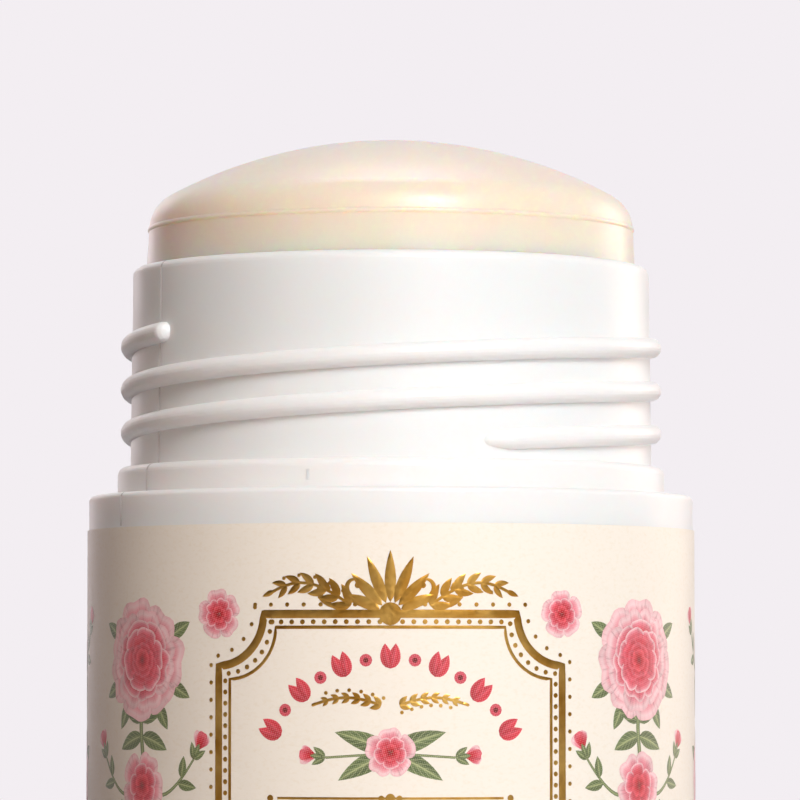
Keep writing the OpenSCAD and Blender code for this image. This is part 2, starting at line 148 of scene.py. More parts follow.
class Nodes:
    """Short calls that add nodes to a tree and link them."""

    def __init__(self, tree):
        self.tree = tree
        self.tree.nodes.clear()

    def node(self, kind, **settings):
        node = self.tree.nodes.new(kind)
        for key, value in settings.items():
            setattr(node, key, value)
        return node

    def link(self, source, target):
        self.tree.links.new(source, target)

    def feed(self, target, value):
        if isinstance(value, bpy.types.NodeSocket):
            self.link(value, target)
        else:
            target.default_value = value

    def math(self, operation, a, b=0.0, clamp=False):
        node = self.node("ShaderNodeMath", operation=operation, use_clamp=clamp)
        self.feed(node.inputs[0], a)
        self.feed(node.inputs[1], b)
        return node.outputs[0]

    def split(self, vector):
        node = self.node("ShaderNodeSeparateXYZ")
        self.link(vector, node.inputs[0])
        return node.outputs

    def mix_shaders(self, share, a, b):
        node = self.node("ShaderNodeMixShader")
        for socket, source in zip(node.inputs, (share, a, b)):
            self.link(source, socket)
        return node.outputs[0]


class Shader(Nodes):
    """A principled material and the textures that feed it."""

    def __init__(self, name, base, roughness, **sockets):
        self.material = bpy.data.materials.new(name)
        self.material.use_nodes = True
        super().__init__(self.material.node_tree)
        self.bsdf = self.node("ShaderNodeBsdfPrincipled")
        self.surface = self.node("ShaderNodeOutputMaterial").inputs["Surface"]
        self.link(self.bsdf.outputs[0], self.surface)
        self.bsdf.inputs["Base Color"].default_value = (*base, 1)
        self.bsdf.inputs["Roughness"].default_value = roughness
        for socket, value in sockets.items():
            self.bsdf.inputs[socket.replace("_", " ")].default_value = value
        self.place = self.node("ShaderNodeTexCoord").outputs["Object"]

    def noise(self, scale, detail=2.0, vector=None, distortion=0.0):
        node = self.node("ShaderNodeTexNoise")
        node.inputs["Scale"].default_value = scale
        node.inputs["Detail"].default_value = detail
        node.inputs["Distortion"].default_value = distortion
        self.link(vector or self.place, node.inputs["Vector"])
        return node.outputs[0]

    def stretch(self, vector, scale):
        node = self.node("ShaderNodeVectorMath", operation="MULTIPLY")
        self.link(vector, node.inputs[0])
        node.inputs[1].default_value = scale
        return node.outputs[0]

    def spread(self, value, low, high, to_low, to_high):
        """A value whose range from low to high is brought to another range, and held to it."""
        node = self.node("ShaderNodeMapRange")
        self.link(value, node.inputs["Value"])
        for socket, number in zip(("From Min", "From Max", "To Min", "To Max"), (low, high, to_low, to_high)):
            node.inputs[socket].default_value = number
        return node.outputs[0]

    def blend(self, share, a, b, kind="MIX"):
        node = self.node("ShaderNodeMix", data_type="RGBA", blend_type=kind)
        self.feed(node.inputs["Factor"], share)
        self.feed(node.inputs["A"], a if isinstance(a, bpy.types.NodeSocket) else (*a, 1))
        self.feed(node.inputs["B"], b if isinstance(b, bpy.types.NodeSocket) else (*b, 1))
        return node.outputs["Result"]

    def mottle(self, texture, low, high, a, b):
        """Colour a where a texture is low or less, b where it is high or more, and their mixes between."""
        return self.blend(self.spread(texture, low, high, 0.0, 1.0), a, b)

    def colour(self, source):
        self.link(source, self.bsdf.inputs["Base Color"])

    def roughness(self, texture, smooth, rough):
        self.link(self.spread(texture, 0.3, 0.7, smooth, rough), self.bsdf.inputs["Roughness"])

    def bump(self, height, distance):
        node = self.node("ShaderNodeBump")
        node.inputs["Distance"].default_value = distance
        self.link(height, node.inputs["Height"])
        self.link(node.outputs[0], self.bsdf.inputs["Normal"])


def moulded_plastic(name, base, roughness, gloss_spread, scatter):
    """Polypropylene: a faint cloudiness and a roughness that wanders a little."""
    s = Shader(name, base, roughness, Subsurface_Weight=scatter, Subsurface_Radius=(1.0, 0.55, 0.45),
               Subsurface_Scale=0.002, IOR=1.49)
    s.colour(s.mottle(s.noise(60.0), 0.2, 0.8, shade(base, 0.992), base))
    s.roughness(s.noise(180.0), roughness - gloss_spread, roughness + gloss_spread)
    return s.material


def wax():
    """The stick: cloudy, translucent and soft, with a waxy skin that is a little uneven."""
    base = linear(248, 229, 211)
    s = Shader("cast_stick", base, 0.32, Subsurface_Weight=1.0, Subsurface_Radius=(1.0, 0.28, 0.06),
               Subsurface_Scale=0.006, IOR=1.45)
    cloud = s.noise(160.0, 3.0, distortion=0.4)
    s.colour(s.mottle(cloud, 0.25, 0.75, shade(base, 0.985), mix(base, (1, 1, 1), 0.06)))
    s.roughness(s.noise(700.0), 0.285, 0.35)
    return s.material


def label_film():
    """Cream satin film with a fine fibre grain and a barely uneven tone."""
    base = linear(250, 241, 228)
    s = Shader("label_film", base, 0.42, IOR=1.45)
    tone = s.mottle(s.noise(55.0, 4.0), 0.25, 0.75, shade(base, 0.99), mix(base, (1, 1, 1), 0.03))
    fibre = s.noise(1.0, 3.0, s.stretch(s.place, (3200.0, 3200.0, 5200.0)))
    s.colour(s.blend(s.spread(fibre, 0.5, 0.75, 0.0, 0.3), tone, linear(238, 222, 196)))
    s.roughness(fibre, 0.36, 0.5)
    s.bump(fibre, 0.000004)
    return s.material


SCREEN_ANGLE = 30
SCREEN_DENSITY = 34.0


def ink(name, veined):
    """Printed ink: painted tints, brush streaks or leaf veins over them, and the dots of the print screen."""
    s = Shader(name, (0.8, 0.5, 0.5), 0.4, IOR=1.45)
    tint = s.node("ShaderNodeAttribute", attribute_name="tint").outputs["Color"]
    flow = s.node("ShaderNodeUVMap", uv_map="flow").outputs[0]
    sheet = s.node("ShaderNodeUVMap", uv_map="sheet").outputs[0]
    streak = s.noise(1.0, 3.0, s.stretch(flow, (2.2, 9.0, 1.0)))
    if veined:
        axes = s.split(flow)
        run, side = s.math("FRACT", axes[0]), s.math("ABSOLUTE", axes[1])
        slant = s.math("SUBTRACT", s.math("MULTIPLY", run, 44.0), s.math("MULTIPLY", side, 11.0))
        veins = s.spread(s.math("SINE", slant), 0.72, 1.0, 0.0, 0.45)
        rib = s.math("MULTIPLY", s.math("LESS_THAN", side, 0.09), 0.6)
        painted = s.blend(s.math("MAXIMUM", veins, rib), tint, linear(196, 200, 146))
    else:
        light = s.blend(s.spread(streak, 0.4, 0.75, 0.0, 0.42), tint, linear(252, 226, 222), "SOFT_LIGHT")
        painted = s.blend(s.spread(streak, 0.46, 0.2, 0.0, 0.5), light, linear(150, 40, 60), "MULTIPLY")
    turned = s.node("ShaderNodeVectorRotate", rotation_type="Z_AXIS")
    s.link(sheet, turned.inputs["Vector"])
    turned.inputs["Angle"].default_value = math.radians(SCREEN_ANGLE)
    axes = s.split(s.stretch(turned.outputs[0], (SCREEN_DENSITY, SCREEN_DENSITY, 1.0)))
    dots = s.math("MULTIPLY", s.math("SINE", axes[0]), s.math("SINE", axes[1]))
    s.colour(s.blend(s.spread(dots, 0.1, 0.7, 0.0, 0.2), painted, linear(252, 240, 226)))
    s.roughness(streak, 0.34, 0.48)
    s.bump(dots, 0.0000015)
    return s.material


def foil():
    """Stamped gold foil: a worn tone and a fine grain."""
    s = Shader("gold_foil", linear(222, 172, 82), 0.34, Metallic=1.0)
    s.colour(s.mottle(s.noise(420.0, 3.0), 0.35, 0.7, linear(196, 140, 56), linear(238, 192, 104)))
    grain = s.noise(3600.0)
    s.roughness(grain, 0.29, 0.42)
    s.bump(grain, 0.0000015)
    return s.material


white_plastic = moulded_plastic("white_plastic", linear(247, 244, 243), 0.38, 0.04, 0.4)
# Painted shade: a darker copy of the white plastic for the front parting line, which runs up the shaded left
# of the neck.
seam_painted_shade = moulded_plastic("seam_painted_shade", linear(202, 195, 192), 0.4, 0.03, 0.0)
inner_plastic = moulded_plastic("inner_plastic", linear(240, 238, 234), 0.46, 0.06, 0.2)
cast_stick = wax()
film = label_film()
gold = foil()
flower_ink = ink("flower_ink", False)
leaf_ink = ink("leaf_ink", True)

for node_name, node_material in (("tube_body", white_plastic), ("base_dial", white_plastic),
                                 ("elevator", inner_plastic), ("feed_screw", inner_plastic),
                                 ("deodorant", cast_stick), ("label", film)):
    for material_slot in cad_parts[node_name].material_slots:
        material_slot.material = node_material


def add_to_scene(name, data):
    """An object in the scene that shows a mesh, a lamp or a camera."""
    piece = bpy.data.objects.new(name, data)
    bpy.context.scene.collection.objects.link(piece)
    return piece


# Printed shapes ----------------------------------------------------------------------------------

class Print:
    """Thin shapes laid on the label. x runs round it to the viewer's right, z up it, both in mm."""

    def __init__(self):
        self.points = []
        self.sheet = []
        self.tints = []
        self.flows = []
        self.faces = []

    def point(self, x, z, lift, tint, flow):
        angle = x / LABEL_R
        r = LABEL_R + lift
        self.points.append((r * math.sin(angle) * MM, -r * math.cos(angle) * MM, z * MM))
        self.sheet.append((x, z))
        self.tints.append((*tint, 1.0))
        self.flows.append(flow)
        return len(self.points) - 1

    def grid(self, rows):
        """Rows of points from one end of a shape to the other, each from its left side to its right."""
        ids = [[self.point(*item) for item in row] for row in rows]
        for low, high in zip(ids, ids[1:]):
            for j in range(len(low) - 1):
                self.faces.append((low[j], low[j + 1], high[j + 1], high[j]))

    def fan(self, centre, ring):
        hub = self.point(*centre)
        ids = [self.point(*item) for item in ring]
        for a, b in zip(ids, ids[1:] + ids[:1]):
            self.faces.append((hub, a, b))

    def build(self, name, material, slot, *nodes):
        mesh = bpy.data.meshes.new(name)
        mesh.from_pydata(self.points, [], self.faces)
        corners = np.empty(len(mesh.loops), dtype=np.int64)
        mesh.loops.foreach_get("vertex_index", corners)
        for layer, values in (("sheet", self.sheet), ("flow", self.flows)):
            uv = mesh.uv_layers.new(name=layer)
            uv.data.foreach_set("uv", np.asarray(values, dtype=np.float32)[corners].ravel())
        tint = mesh.color_attributes.new("tint", "FLOAT_COLOR", "POINT")
        tint.data.foreach_set("color", np.asarray(self.tints, dtype=np.float32).ravel())
        mesh.shade_smooth()
        mesh.materials.append(material)
        piece = add_to_scene(name, mesh)
        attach(piece, "tube")
        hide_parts(*nodes)


# Angles on the label are in degrees: 0 points up, and they grow clockwise

def petal(sheet, x, z, angle, inner, outer, half_spread, lift, stops, dent=0.05):
    """A fan-shaped petal about (x, z), with round corners, a dent in its edge and a few soft waves."""
    rows, columns = 8, 12
    start = rng.uniform(0, 40)
    tone = rng.uniform(0.94, 1.05)
    waves = [rng.uniform(-0.022, 0.022) for _ in range(3)]
    grid = []
    for i in range(rows + 1):
        s = i / rows
        row = []
        for j in range(columns + 1):
            t = 2 * j / columns - 1
            reach = 1 - 0.2 * abs(t) ** 3 - 0.12 * t ** 6 - dent * math.exp(-(t / 0.22) ** 2)
            reach += sum(w * math.sin((k + 2) * 2.1 * t + k) for k, w in enumerate(waves))
            r = inner + (outer * reach - inner) * s
            a = math.radians(angle + half_spread * t * (0.8 + 0.2 * s))
            tuck = 1 - 0.3 * max(0.0, t) ** 1.6 * (1 - 0.55 * s)
            fold = 1 + 0.07 * math.sin(5 * t + start) * s
            row.append((x + r * math.sin(a), z + r * math.cos(a), lift + PETAL_RISE * s,
                        shade(ramp(stops, s), tone * tuck * fold), (s + start, t)))
        grid.append(row)
    sheet.grid(grid)


def whorl(sheet, x, z, count, turn, inner, outer, half_spread, lift, stops):
    """A ring of petals, each lying over the one before."""
    for i in range(count):
        angle = turn + 360 * i / count + rng.uniform(-3, 3)
        petal(sheet, x, z, angle, inner, outer * rng.uniform(0.96, 1.02), half_spread,
              lift + LAYER * (i % 2) * 0.5 + PETAL_STEP * i, stops)


# The rings of a rosette, from the lowest up: how many petals, their turn, their inner and outer reach as
# shares of the rosette's radius, half the spread of a petal, and its tints
LARGE_PETAL_RINGS = ((7, 0, 0.3, 0.98, 36, OUTER_STOPS), (7, 26, 0.25, 0.82, 36, OUTER_STOPS),
                     (6, 8, 0.2, 0.66, 40, MIDDLE_STOPS), (6, 40, 0.15, 0.53, 40, MIDDLE_STOPS))
LARGE_HEART_RINGS = ((5, 15, 0.1, LARGE_HEART, 46, INNER_STOPS), (5, 50, 0.06, 0.3, 46, INNER_STOPS),
                     (4, 20, 0.0, 0.19, 60, HEART_STOPS))
SMALL_PETAL_RINGS = ((5, 0, 0.15, 1.0, 40, OUTER_STOPS), (5, 36, 0.1, 0.66, 40, MIDDLE_STOPS))
SMALL_HEART_RINGS = ((4, 20, 0.0, SMALL_HEART, 50, HEART_STOPS),)


def rosette(petals, hearts, x, z, d, turn, petal_rings, heart_rings):
    """A flower seen from above. Its heart goes on a sheet of its own."""
    r = d / 2
    rings = [(petals, *ring) for ring in petal_rings] + [(hearts, *ring) for ring in heart_rings]
    for layer, (sheet, count, lag, inner, outer, half_spread, stops) in enumerate(rings):
        lift = FLOWER_LIFT + layer * LAYER
        whorl(sheet, x, z, count, turn + lag, inner * r, outer * r, half_spread, lift, stops)


def large_rosette(petals, hearts, x, z):
    rosette(petals, hearts, x, z, LARGE_D, rng.uniform(0, 60), LARGE_PETAL_RINGS, LARGE_HEART_RINGS)


def small_rosette(petals, hearts, x, z, d=SMALL_D, turn=None):
    turn = rng.uniform(0, 72) if turn is None else turn
    rosette(petals, hearts, x, z, d, turn, SMALL_PETAL_RINGS, SMALL_HEART_RINGS)


def blade(sheet, x, z, angle, length, width, lift, stops, crown=0.0, curve=0.0, rows=10):
    """A leaf from its foot at (x, z). Its rib stands a crown higher, and curve bends its tip clockwise."""
    start = float(rng.randrange(40))
    grid = []
    for i in range(rows + 1):
        s = i / rows
        bend = math.radians(angle + curve * s * 0.5)
        cx = x + length * s * math.sin(bend)
        cz = z + length * s * math.cos(bend)
        lean = math.radians(angle + curve * s)
        half = width / 2 * math.sin(math.pi * s ** 0.8) ** 0.85 if 0 < s < 1 else 0.0
        row = []
        for t in (-1.0, -0.55, -0.1, 0.1, 0.55, 1.0):
            side = 0.86 if t < 0 else 1.08
            row.append((cx + half * t * math.cos(lean), cz - half * t * math.sin(lean),
                        lift + crown * (1 - t * t), shade(ramp(stops, abs(t)), side * (0.85 + 0.25 * s)),
                        (start + s, t)))
        grid.append(row)
    sheet.grid(grid)


def ribbon(sheet, path, widths, lift, tint, crown=0.0):
    """A line along a path, with a width at each of its points. Its middle stands a crown higher."""
    grid = []
    run = 0.0
    for i, (x, z) in enumerate(path):
        x0, z0 = path[max(i - 1, 0)]
        x1, z1 = path[min(i + 1, len(path) - 1)]
        length = math.hypot(x1 - x0, z1 - z0) or 1.0
        nx, nz = (z1 - z0) / length, -(x1 - x0) / length
        run += math.hypot(x - path[i - 1][0], z - path[i - 1][1]) if i else 0.0
        half = widths[i] / 2
        grid.append([(x + nx * half * t, z + nz * half * t, lift + crown * (1 - abs(t)),
                      shade(tint, 1 - 0.18 * abs(t)), (run, t * 0.5)) for t in (-1, 0, 1)])
    sheet.grid(grid)


def line(sheet, path, width, lift, tint, crown=0.0):
    """A ribbon of one width."""
    ribbon(sheet, path, [width] * len(path), lift, tint, crown)


def bead(sheet, x, z, r, lift, tint, crown=0.0, sides=12):
    ring = [(x + r * math.cos(a), z + r * math.sin(a), lift, shade(tint, 0.85), (math.cos(a), math.sin(a)))
            for a in (2 * math.pi * i / sides for i in range(sides))]
    sheet.fan((x, z, lift + crown, tint, (0.0, 0.0)), ring)


def bud(petals, leaves, x, z, angle, size):
    """A closed bud in its green cup."""
    a = math.radians(angle)
    tip_x, tip_z = x + 0.3 * size * math.sin(a), z + 0.3 * size * math.cos(a)
    for lean, layers, stops in ((-16, 1, OUTER_STOPS), (16, 1, MIDDLE_STOPS), (0, 2, INNER_STOPS)):
        lift = BASE_LIFT + layers * LAYER
        petal(petals, tip_x, tip_z, angle + lean, 0.0, 0.75 * size, 24, lift, stops, dent=0.0)
    for lean in (-34, 0, 34):
        blade(leaves, x, z, angle + lean, 0.62 * size, 0.26 * size, BASE_LIFT + 4 * LAYER, LEAF_STOPS, rows=6)


def spray(petals, leaves, x, z, side):
    """A bud on a thin bent stalk with two small leaves, which leaves the garland's stem sideways."""
    steps = 8
    shares = [i / steps for i in range(steps + 1)]
    path = [(x + side * (0.3 + 2.9 * s), z + 2.4 * s ** 1.6) for s in shares]
    ribbon(leaves, path, [0.26 - 0.1 * s for s in shares], BASE_LIFT, GREEN)
    bud(petals, leaves, *path[-1], side * 26, 1.9)
    blade(leaves, *path[4], side * 100, 1.7, 0.75, BASE_LIFT + LAYER, LEAF_STOPS, rows=6)
    blade(leaves, *path[5], side * 8, 1.5, 0.7, BASE_LIFT + LAYER, LEAF_STOPS, rows=6)


def garland(petals, hearts, leaves, x, column):
    """A stem up the label, with leaves and with rosettes, by turns large and small."""
    steps = 60
    heights = [STEM_FOOT + (GARLAND_TOP - STEM_FOOT) * i / steps for i in range(steps + 1)]
    path = [(x + 0.12 * math.sin(z * 1.1 + column), z) for z in heights]
    line(leaves, path, STEM_W, BASE_LIFT + 1.5 * LAYER, GREEN)
    for i in range(GARLAND_COUNT):
        z = GARLAND_TOP - i * GARLAND_PITCH
        fork = z - GARLAND_PITCH / 2
        for tilt in (-52, 52):
            blade(leaves, x, fork, tilt, LEAF_L, LEAF_L * 0.42, BASE_LIFT + LAYER,
                  LEAF_STOPS, curve=-tilt * 0.5)
            blade(leaves, x, fork - 0.9, tilt * 1.9, LEAF_L * 0.66, LEAF_L * 0.28, BASE_LIFT + 0.5 * LAYER,
                  LEAF_STOPS, curve=tilt * 0.4, rows=8)
        if i % 2 == column % 2:
            r = LARGE_D * 0.38
            for tilt in (-150, -118, 118, 150, 62, -62):
                a = math.radians(tilt)
                blade(leaves, x + r * math.sin(a), z + r * math.cos(a), tilt, 2.1, 1.0, BASE_LIFT, LEAF_STOPS,
                      rows=8)
            large_rosette(petals, hearts, x, z)
        else:
            small_rosette(petals, hearts, x, z)
            for way in (-1, 1):
                spray(petals, leaves, x + way * 1.9, z - 0.6, way)


def garlands(petals, hearts, leaves):
    for side in (-1, 1):
        for column in range(COLUMN_COUNT):
            garland(petals, hearts, leaves, side * (COLUMN_FROM + column * COLUMN_PITCH), column)


def frame_path(inset):
    """The closed outline of the frame, whose corners are hollow."""
    half = FRAME_W / 2 - inset
    z0, z1 = FRAME_Z0 + inset, FRAME_Z1 - inset

    def straight(a, b):
        count = max(2, int(math.dist(a, b) / 0.6))
        return [(a[0] + (b[0] - a[0]) * i / count, a[1] + (b[1] - a[1]) * i / count) for i in range(count)]

    def hollow(cx, cz, start):
        turns = [math.radians(start + d) for d in range(0, 90, 6)]
        return [(cx + NOTCH_R * math.cos(a), cz + NOTCH_R * math.sin(a)) for a in turns]

    path = straight((-half + NOTCH_R, z1), (half - NOTCH_R, z1)) + hollow(half, z1, 180)
    path += straight((half, z1 - NOTCH_R), (half, z0 + NOTCH_R)) + hollow(half, z0, 90)
    path += straight((half - NOTCH_R, z0), (-half + NOTCH_R, z0)) + hollow(-half, z0, 0)
    path += straight((-half, z0 + NOTCH_R), (-half, z1 - NOTCH_R)) + hollow(-half, z1, 270)
    return path + path[:2]


def along(path, pitch):
    """Points a pitch apart along a path."""
    spots = []
    wait = 0.0
    for (x0, z0), (x1, z1) in zip(path, path[1:]):
        length = math.dist((x0, z0), (x1, z1))
        while wait <= length:
            spots.append((x0 + (x1 - x0) * wait / length, z0 + (z1 - z0) * wait / length))
            wait += pitch
        wait -= length
    return spots


def stud(sheet, x, z, r, crown=0.6, sides=12):
    """A round dot of foil. Its crown is a share of the foil's."""
    bead(sheet, x, z, r, FOIL_LIFT, FOIL, CROWN * crown, sides)


def scroll(sheet, x, z, angle, size, hand):
    """A curl that winds in on itself and ends in a bead."""
    width, steps = 0.26, 30
    path = []
    widths = []
    heading = math.radians(angle)
    for i in range(steps + 1):
        s = i / steps
        path.append((x, z))
        widths.append(width * (0.5 + 0.9 * math.sin(math.pi * min(1.0, s + 0.15))))
        stride = size * 2.9 / steps * (1 - 0.62 * s)
        x += stride * math.sin(heading)
        z += stride * math.cos(heading)
        heading += hand * math.radians(3 + 13 * s * s + 6 * s)
    ribbon(sheet, path, widths, FOIL_LIFT, FOIL, CROWN * 0.6)
    stud(sheet, x, z, width * 0.75)


def laurel(sheet, path, pitch, length, width):
    """Paired leaves that grow smaller along a thin stalk, with beads beside it and a leaf at its tip."""
    line(sheet, path, 0.2, FOIL_LIFT, FOIL, CROWN * 0.5)
    spots = along(path, pitch)
    for i, ((x, z), (x1, z1)) in enumerate(zip(spots, spots[1:])):
        heading = math.degrees(math.atan2(x1 - x, z1 - z))
        size = 1 - 0.45 * i / len(spots)
        for lean in (-42, 42):
            blade(sheet, x, z, heading + lean, length * size, width * size, FOIL_LIFT, FOIL_STOPS,
                  CROWN * 0.6, curve=-lean * 0.5, rows=7)
        beside = math.radians(heading + 90)
        stud(sheet, x + 0.5 * math.sin(beside), z + 0.5 * math.cos(beside), 0.13, 0.5, 8)
    blade(sheet, *spots[-1], heading, length * 0.6, width * 0.6, FOIL_LIFT, FOIL_STOPS, CROWN * 0.6, rows=7)


def frame_lines(sheet):
    """The frame's two lines, with a row of beads between them and another outside."""
    for inset, width, crown in ((0.0, HEAVY_LINE, CROWN),
                                (HEAVY_LINE / 2 + LINE_GAP, FINE_LINE, CROWN * 0.5)):
        line(sheet, frame_path(inset), width, FOIL_LIFT, FOIL, crown)
    for inset, pitch, r in ((0.52, 0.74, 0.17), (-0.62, 1.15, 0.15)):
        for x, z in along(frame_path(inset), pitch):
            stud(sheet, x, z, r, sides=8)


def palmettes(sheet):
    """A fan of leaves over the frame and one under it, each between scrolls and laurels."""
    hub = PALMETTE_H * 0.18
    for up, base_z, reach, leaf in ((1, FRAME_Z1, PALMETTE_H - hub, 1.55),
                                    (-1, FRAME_Z0, PALMETTE_H * 0.6, 1.2)):
        for turn in range(-66, 67, 22):
            a = math.radians(turn if up > 0 else 180 - turn)
            blade(sheet, hub * math.sin(a), base_z + hub * math.cos(a), math.degrees(a),
                  reach * math.cos(math.radians(turn * 0.7)), hub, FOIL_LIFT, FOIL_STOPS, CROWN)
        bead(sheet, 0, base_z, hub, FOIL_LIFT + 0.002, FOIL, CROWN, 20)
        for side in (-1, 1):
            scroll(sheet, side * 0.9, base_z + up * 0.5, side * 90, 1.9, -side * up)
            scroll(sheet, side * 3.4, base_z + up * 0.42, side * (90 - 12 * up), 1.5, -side * up)
            path = [(side * (2.6 + 5.4 * i / 16), base_z + up * (0.55 + 1.5 * math.sin(math.pi * i / 20)))
                    for i in range(17)]
            laurel(sheet, path, 0.95, leaf, 0.6)


def rules(sheet):
    """The beaded rules inside the frame."""
    for z in RULE_HEIGHTS:
        path = [(-RULE_HALF + 2 * RULE_HALF * i / 40, z) for i in range(41)]
        line(sheet, path, 0.16, FOIL_LIFT, FOIL, CROWN * 0.4)
        for x, r in ((-RULE_HALF - 0.5, 0.22), (RULE_HALF + 0.5, 0.22), (-0.6, 0.2), (0.6, 0.2)):
            stud(sheet, x, z, r)
        stud(sheet, 0, z, 0.32, 1.0)


def sprigs(sheet):
    """The laurels inside the frame: a pair over the upper posy and a wreath round the lower one."""
    for side in (-1, 1):
        path = [(side * (0.6 + 4.6 * i / 14), SPRIG_Z + 0.5 * math.sin(math.pi * i / 14)) for i in range(15)]
        laurel(sheet, path, 0.72, 0.8, 0.36)
        turns = [math.radians(d) for d in range(86, -71, -6)]
        path = [(side * WREATH_R * math.cos(a), LOWER_POSY_Z - WREATH_DROP * math.sin(a)) for a in turns]
        laurel(sheet, path, 0.9, 1.0, 0.46)


def arch(centre_z, up):
    """Places and headings along an arc inside the frame, from left to right."""
    spots = []
    for i in range(ARCH_COUNT):
        d = -ARCH_SPAN + 2 * ARCH_SPAN * i / (ARCH_COUNT - 1)
        a = math.radians(d)
        spots.append((ARCH_R * math.sin(a), centre_z + up * ARCH_R * math.cos(a), d if up > 0 else 180 - d))
    return spots


def posy(petals, hearts, leaves, x, z, size):
    """A small blossom between four leaves."""
    for tilt in (-64, -112, 64, 112):
        blade(leaves, x, z, tilt, size * 1.15, size * 0.36, BASE_LIFT, LEAF_STOPS,
              curve=math.copysign(12, tilt), rows=8)
    small_rosette(petals, hearts, x, z, size, 0)


def inner_work(petals, hearts, leaves):
    """The small printed figures within the frame, and the blossoms on its corners."""
    for up, centre_z in ARCH_CENTRES:
        for i, (x, z, heading) in enumerate(arch(centre_z, up)):
            if i % 2 == 0:
                a = math.radians(heading)
                for lean in (-24, 24):
                    blade(petals, x - 0.7 * math.sin(a), z - 0.7 * math.cos(a), heading + lean, 1.7, 0.86,
                          BASE_LIFT, TULIP_STOPS, curve=-lean, rows=8)
            else:
                bead(petals, x, z, 0.42, BASE_LIFT, ROSE)
                bead(hearts, x, z, 0.18, BASE_LIFT + LAYER, DEEP, sides=8)
    posy(petals, hearts, leaves, 0, UPPER_POSY_Z, 3.4)
    for side in (-1, 1):
        bud(petals, leaves, side * 4.3, UPPER_POSY_Z - 0.3, side * 84, 1.7)
        stalk = [(side * (1.6 + 0.3 * i), UPPER_POSY_Z - 0.15 - 0.02 * i) for i in range(10)]
        line(leaves, stalk, 0.16, BASE_LIFT, GREEN)
    posy(petals, hearts, leaves, 0, LOWER_POSY_Z, 4.4)
    for x in (-FRAME_W / 2, FRAME_W / 2):
        for z in (FRAME_Z0, FRAME_Z1):
            small_rosette(petals, hearts, x, z, 3.4)


petals, hearts, leaves, gilt = Print(), Print(), Print(), Print()
garlands(petals, hearts, leaves)
inner_work(petals, hearts, leaves)
for foil_figure in (frame_lines, palmettes, rules, sprigs):
    foil_figure(gilt)
petals.build("print_petals", flower_ink, "pink_ink", "label_petals")
hearts.build("print_hearts", flower_ink, "crimson_ink", "label_hearts")
leaves.build("print_leaves", leaf_ink, "green_ink", "label_leaves")
gilt.build("print_foil", gold, "gold_foil", "label_foil")


# Mould marks on the body -------------------------------------------------------------------------

# The body's outside, as in the part's source: radii, heights and the roundings of its edges, in millimetres
BODY_R = 21.0
COLLAR_R = 19.05
NECK_FOOT_R = 18.15
RIM_R = 18.0
SHOULDER_Z = 60.0
COLLAR_Z = 62.0
RIM_Z = 75.9
SHOULDER_ROUND = 0.35
COLLAR_ROUND = 0.55
RIM_ROUND = 0.55
CLEARANCE = 0.02

# The marks: degrees from +X, and millimetres
PARTING_AZIMUTH = 209.5
PARTING_W = 0.24
PARTING_H = 0.003
TICK_AZIMUTH = 253.2
TICK_Z = 60.5
TICK_W = 0.26
TICK_H = 0.02

# Across a mark: the place as a share of half its width, and the rise as a share of its height
MARK_SECTION = ((-1, -0.3), (-0.6, 0.45), (0, 1), (0.6, 0.45), (1, -0.3))


def seam_profile():
    """Radius and height of the body's outside from the label's edge to the rim, in millimetres."""
    path = []
    for foot_r, foot_z, r, z, edge in ((BODY_R, LABEL_TOP + 0.1, BODY_R, SHOULDER_Z, SHOULDER_ROUND),
                                       (COLLAR_R, SHOULDER_Z + CLEARANCE, COLLAR_R, COLLAR_Z, COLLAR_ROUND),
                                       (NECK_FOOT_R, COLLAR_Z + CLEARANCE, RIM_R, RIM_Z, RIM_ROUND)):
        path += [(foot_r, foot_z), (r, z - edge)]
        path += [(r - edge + edge * math.cos(a), z - edge + edge * math.sin(a))
                 for a in (math.radians(d) for d in range(0, 91, 15))]
    return path


def body_mark(name, path, azimuth, width, height, material):
    """A fine raised line up the body at one azimuth, in degrees from +X."""
    a = math.radians(azimuth)
    out = Vector((math.cos(a), math.sin(a), 0))
    side = Vector((-math.sin(a), math.cos(a), 0))
    points = []
    for r, z in path:
        for t, rise in MARK_SECTION:
            points.append((out * (r + rise * height) + side * (t * width / 2)) * MM + Vector((0, 0, z * MM)))
    sides = len(MARK_SECTION)
    faces = []
    for i in range(len(path) - 1):
        for j in range(sides - 1):
            k = sides * i + j
            faces.append((k, k + 1, k + sides + 1, k + sides))
    mesh = bpy.data.meshes.new(name)
    mesh.from_pydata(points, [], faces)
    mesh.shade_smooth()
    mesh.materials.append(material)
    piece = add_to_scene(name, mesh)
    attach(piece, "tube")


# The front parting line wears painted shade, a darker copy of the white plastic; the back one is plain white
# plastic.
for turn, mark, plastic in ((0, "parting_line_front", seam_painted_shade),
                            (180, "parting_line_back", white_plastic)):
    body_mark(mark, seam_profile(), PARTING_AZIMUTH + turn, PARTING_W, PARTING_H, plastic)
tick_path = [(COLLAR_R, TICK_Z + 0.1 * i) for i in range(8)]
body_mark("cap_tick", tick_path, TICK_AZIMUTH, TICK_W, TICK_H, white_plastic)


# Studio, in metres -------------------------------------------------------------------------------

BACKDROP = linear(243, 238, 242)
ROOM = (1.0, 0.98, 0.99)
ROOM_GLOW = 0.015
# The floor's colour for light that bounces off it, on the side towards BOUNCE_SIDE; elsewhere that colour is
# painted shade, near black.
BOUNCE = (0.78, 0.76, 0.75)
BOUNCE_SIDE = (0.77, -0.64, 0.0)
FLOOR_RINGS = (0.05, 0.12, 0.25, 0.5, 1.1)
FLOOR_SIDES = 96
TARGET = Vector((0, 0, 0.06))
LAMP_DISTANCE = 0.9


